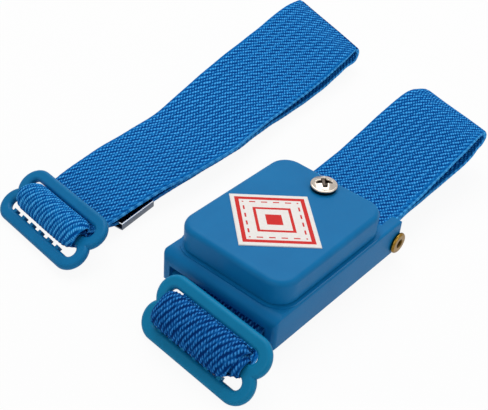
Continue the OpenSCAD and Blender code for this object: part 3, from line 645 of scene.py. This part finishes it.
under_housing = [[13, 1.5, 1.285, 5, 0, *free], [4, 0.6, 0.7, 5, 0, *free],
                 [-3, 0, 0.7, 5, 0, *free], [-12, -1.2, 1.285, 4, 0, 24, 1.4, 1.1],
                 [-21.35, -2.7, 0.8, 2, 0, 21.9, 1.4, 1.4],
                 [-25.55, -3.9, 1.56, 0, 0, *drawn], [-27.95, -4.5, 2.46, -3, 0, *drawn]]
outer_turn = round_slider(slider_at, -4.3, 0,
                          (3.07, 3.08, 3.1, 3.1, 3.1, 3.28, 4.4, 4.3, 4.0, 3.8, 3.65, 3.65, 3.75,
                           3.9, 4.0, 3.75, 3.5),
                          282, 35, 24, (0.7, 0.9, 1.2, 1.3, 1.2, 1.1, 1.0, 0.9, 0.5), 2.2,
                          (20.4, 20.8, 21.4, 22.0, 22.2, 22.4, 22.8, 23.0, 22.4))
to_window = [[-26.55, -4.3, 6.3, -3, 0, *drawn], [-23.95, -3.3, 5.1, -2, 0, *drawn],
             [-21.15, -2.5, 5.45, 0, 0, *drawn]]
window_turn = arc(-19.65, -2.5, 4.3, 1.65, 90, -90, 8, 0, 0, *drawn)
from_window = [[-22.05, -3.1, 2.65, -1, 0, *drawn], [-25.55, -5.5, 3.76, -3, 0, *drawn]]
inner_turn = round_slider(slider_at, -4.3, 0, (1.87, 1.87, 2.3, 2.5, 2.3, 1.87), 283, -15, 24,
                          (-0.7, -1.0, -1.1, -1.1, -0.9, -0.7), 2.2, (20.4, 21.4, 21.4, 20.4))

parts = [tail, rivet_turn, over, fold, under, joint, under_housing, outer_turn, to_window,
         window_turn, from_window, inner_turn]
ends = np.cumsum([len(part) for part in parts])
main_band = lay_band(np.vstack(parts))
at_rivet = ends[5] - 1
at_wrap = ends[6]
off_wrap = ends[7] - 1
at_end = ends[10]

wrist_strip = webbing("wrist_webbing", main_band, 0, at_rivet, 0.09)
wrist_strip.data.materials.append(band_finish)
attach(wrist_strip, "housing")
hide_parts("wrist_band")

under_strip = webbing("under_webbing", main_band, at_rivet, at_wrap, 0.09)
under_strip.data.materials.append(band_finish)
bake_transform(under_strip)
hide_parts("under_run")

front_strip = webbing("front_webbing", main_band, off_wrap, at_end, 0.09)
front_strip.data.materials.append(band_finish)
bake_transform(front_strip)
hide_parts("front_loop")

wrap_strip = webbing("wrap_webbing", main_band, at_wrap, off_wrap, 0.24, tucked_edges(0.7, 0.78),
                     0.15, 150, 2.2, 12.5, 0.7)
wrap_strip.data.materials.append(shaded_tight_webbing)
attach(wrap_strip, "strap_loop")
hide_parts("slider_wrap")

end_strip = webbing("sewn_end_webbing", main_band, at_end, ends[11] - 1, 0.24,
                    tucked_edges(0.15, 0.85), 0.15, 150, 1.6, 12.5, 0.7)
end_strip.data.materials.append(shaded_tight_webbing)
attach(end_strip, "strap_loop")
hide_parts("strap_end")


# ---- Spare band ----
# It has no housing: one end is drawn round its slider's bar from below and sewn back,
# the other comes over the bar from above and ends in a short tail.

second_at = (-26.3, 46.0, 4.7328)
plate_at = (-9.8, 48.3)
plate_turn = 6.5
second_tail = [[-20.3, 46.3, 0.55, -4, 0, *drawn], [-23.7, 45.9, 0.9, -6, 0, *drawn]]
second_outer = round_slider(second_at, -7.2, -2, (3.07, 2.8, 2.75, 3.0, 3.3, 3.6, 3.85, 4.0, 3.3),
                            276, 16, 24, (0.7, 0.7, 0.6, 0.3, 0.0, -0.1, -0.3, -0.4, 0.2), 2.2,
                            (20.4, 21.0, 21.6, 22.6, 23.2, 23.0, 22.4, 21.8, 21.2),
                            (1.1, 0.9, 0.9, 1.0, 1.1, 1.1, 1.1, 1.1, 1.1))
broad = (25.9, 1.4, 1.0)
second_over = [[-22.7, 46.3, 4.93, -7, -1, *drawn], [-20.3, 46.3, 4.2, -6, 0, 21.0, 1.1, 1.6],
               [-15.3, 46.85, 4.2, -5, 0, 22.3, 1.4, 1.3], [-3, 47.05, 5.2, 0, 0, 23.2, 1.4, 1.3],
               [9, 46.65, 5.6, 3, 0, 24.8, 1.4, 1.4], [22, 47.05, 5.8, 4, 0, *broad[:2], 1.4],
               [36, 49.15, 6.5, 4, 4, *broad[:2], 1.35], [51, 50.75, 7.6, 4, 11, *broad[:2], 1.2],
               [67, 51.75, 9.3, 4, 15, *broad], [80, 52.95, 11, 3, 17, *broad]]
second_fold = arc(88.6, 54.6, 8.4, 2.1, 90, -90, 6, -4, 15, *broad)
second_fold[:, 5] -= (0.3, 0.7, 1.4, 2.0, 1.4, 0.7, 0.3)
second_fold[:, 1] -= (25.9 - second_fold[:, 5]) / 2
second_under = [[84, 54.1, 5.8, -4, 12, *free], [78, 53.7, 4.5, 0, 9, *free],
                [70, 53.1, 3, 2, 6, *free], [60, 52.7, 1.6, 2, 2, *free],
                [48, 52.5, 0.7, 3, 0, *free], [38, 51.9, 0.7, 4, 0, *free],
                [30, 50.9, 0.9, 2, 0, *free], [20, 50.6, 1.05, 1, 0, *free],
                [9, 50.3, 1.05, 4, 0, 24.8, 1.4, 1.0],
                [-1.11, 49.29, 1.05, plate_turn, 0, 23.1, 1.1, 1.3],
                [*plate_at, 1.05, plate_turn, 0, 23.1, 1.1, 1.3]]
second_joint = [[-16.2, 47.9, 1.2, plate_turn, 0, 21.4, 1.1, 1.4]]
second_back = [[-18.9, 47.9, 2.0, 2, 0, 20.4, 1.1, 1.6],
               [-22.1, 46.6, 2.67, -4, -1, *drawn]]
second_inner = round_slider(second_at, -7.2, -2, (1.87, 1.72, 1.72, 2.0, 2.2, 1.87), 283, -15, 24,
                            (-0.7, -0.7), 2.2, (20.4,), (1.1, 0.85, 0.85, 1.1, 1.1, 1.1))

parts = [second_tail, second_outer, second_over, second_fold, second_under, second_joint,
         second_back, second_inner]
ends = np.cumsum([len(part) for part in parts])
spare_band = lay_band(np.vstack(parts))
off_wrap = ends[1] - 1
at_loop = ends[1] + 2
off_loop = ends[5] - 1
at_end = ends[6]

spare_strip = webbing("spare_webbing", spare_band, at_loop, off_loop, 0.09, step=0.33, across=78)
spare_strip.data.materials.append(band_finish)
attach(spare_strip, "housing")
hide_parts("second_band")

spare_wrap = webbing("spare_wrap_webbing", spare_band, 0, off_wrap, 0.24, tucked_edges(0.9, 0.74),
                     0.2, 120, 2.2, 12.5)
spare_wrap.data.materials.append(lit_tight_webbing)
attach(spare_wrap, "housing")
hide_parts("second_wrap")

spare_over = webbing("spare_over_webbing", spare_band, off_wrap, at_loop, 0.2)
spare_under = webbing("spare_under_webbing", spare_band, off_loop, at_end, 0.2)
for strip in (spare_over, spare_under):
    strip.data.materials.append(band_finish)
    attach(strip, "housing")
    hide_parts("second_front_run")

spare_end = webbing("spare_end_webbing", spare_band, at_end, ends[7] - 1, 0.24,
                    tucked_edges(0.3, 0.85), 0.2, 120, 1.6, 12.5)
spare_end.data.materials.append(shaded_tight_webbing)
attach(spare_end, "housing")
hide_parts("second_strap_end")


# ---- Sliders ----
# Two moulded ladder-lock sliders, each a pair of rounded loops that share a middle bar,
# with six teeth on the near rail.

for node, deep, fresh in [("slider", paint(10, 116, 162), paint(22, 138, 186)),
                          ("second_slider", paint(8, 100, 152), paint(20, 122, 178))]:
    nodes[node].data.materials[0] = moulded_plastic(node + " plastic", deep, fresh, 0.36)


# ---- Contact plate ----
# A strip of rolled steel bent round both edges of the spare band's lower layer. Its top is painted
# near black as a dark reflection of the band above it, and a painted highlight runs bright along
# the bends.

plate_finish = metal("rolled steel", paint(52, 58, 70), paint(120, 128, 140), 0.2, (1, 6, 6))
tree = plate_finish.node_tree
shader = tree.nodes["Principled BSDF"]
rolled = shader.inputs["Base Color"].links[0].from_socket
place = tree.nodes.new("ShaderNodeTexCoord").outputs["Object"]
height = feed(tree, "SeparateXYZ", place).node.outputs[2]
# Painted highlight: from 1.7 mm up, the steel along the bends is mixed towards near white.
bend_highlight = feed(tree, "MapRange", height, 0.0017, 0.0019, 0.0, 1.0)
edge = feed(tree, "MixRGB", bend_highlight, rolled, paint(228, 232, 238))
# Painted reflection: above 2.06 mm, on the flat top, the steel is painted near black as the dark
# reflection of the band above.
painted_dark_top = feed(tree, "MapRange", height, 0.00206, 0.00209, 0.0, 1.0)
tree.links.new(feed(tree, "MixRGB", painted_dark_top, edge, paint(14, 20, 44)), shader.inputs["Base Color"])


def plate_surface():
    """The bent sheet: a C-shaped line with round corners, given a thickness and a length.

    The line runs along one lip, round a corner, up the side, over the top and down the
    other side; the section is that line moved half a thickness either way. The whole is
    turned with the band."""
    half_w, top, lip, bend, half_t = 12.025, 1.925, 4.0, 0.4, 0.175
    quarter = np.linspace(0, np.pi / 2, 7)
    corner = np.stack([np.sin(quarter), 1 - np.cos(quarter)], 1) * bend
    lower = np.array([half_w - bend, half_t]) + corner
    upper = np.stack([half_w - bend + bend * np.cos(quarter),
                      top - bend + bend * np.sin(quarter)], 1)
    cover = np.linspace([half_w - 1, top], [0, top], 6)
    side = np.vstack([[[half_w - lip, half_t]], lower, upper, cover])
    line = np.vstack([side, side[-2::-1] * [-1, 1]])
    along = np.gradient(line, axis=0)
    along /= np.linalg.norm(along, axis=1)[:, None]
    out = np.stack([along[:, 1], -along[:, 0]], 1)
    section = np.vstack([line + out * half_t, (line - out * half_t)[::-1]])
    reach = np.array([0, 0.03, 0.1, *np.linspace(0.5, 11, 12), 11.4, 11.47, 11.5]) - 5.75
    x = np.repeat(reach[:, None], len(section), axis=1)
    y, z = np.broadcast_to(section.T[:, None, :], (2, len(reach), len(section)))
    turn = np.radians(plate_turn)
    return np.stack([x * np.cos(turn) - y * np.sin(turn) + plate_at[0],
                     x * np.sin(turn) + y * np.cos(turn) + plate_at[1], z], -1) * MM


plate = grid_mesh("contact_strip", plate_surface(), caps=True)
plate.data.materials.append(plate_finish)
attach(plate, "housing")
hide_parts("contact_plate")
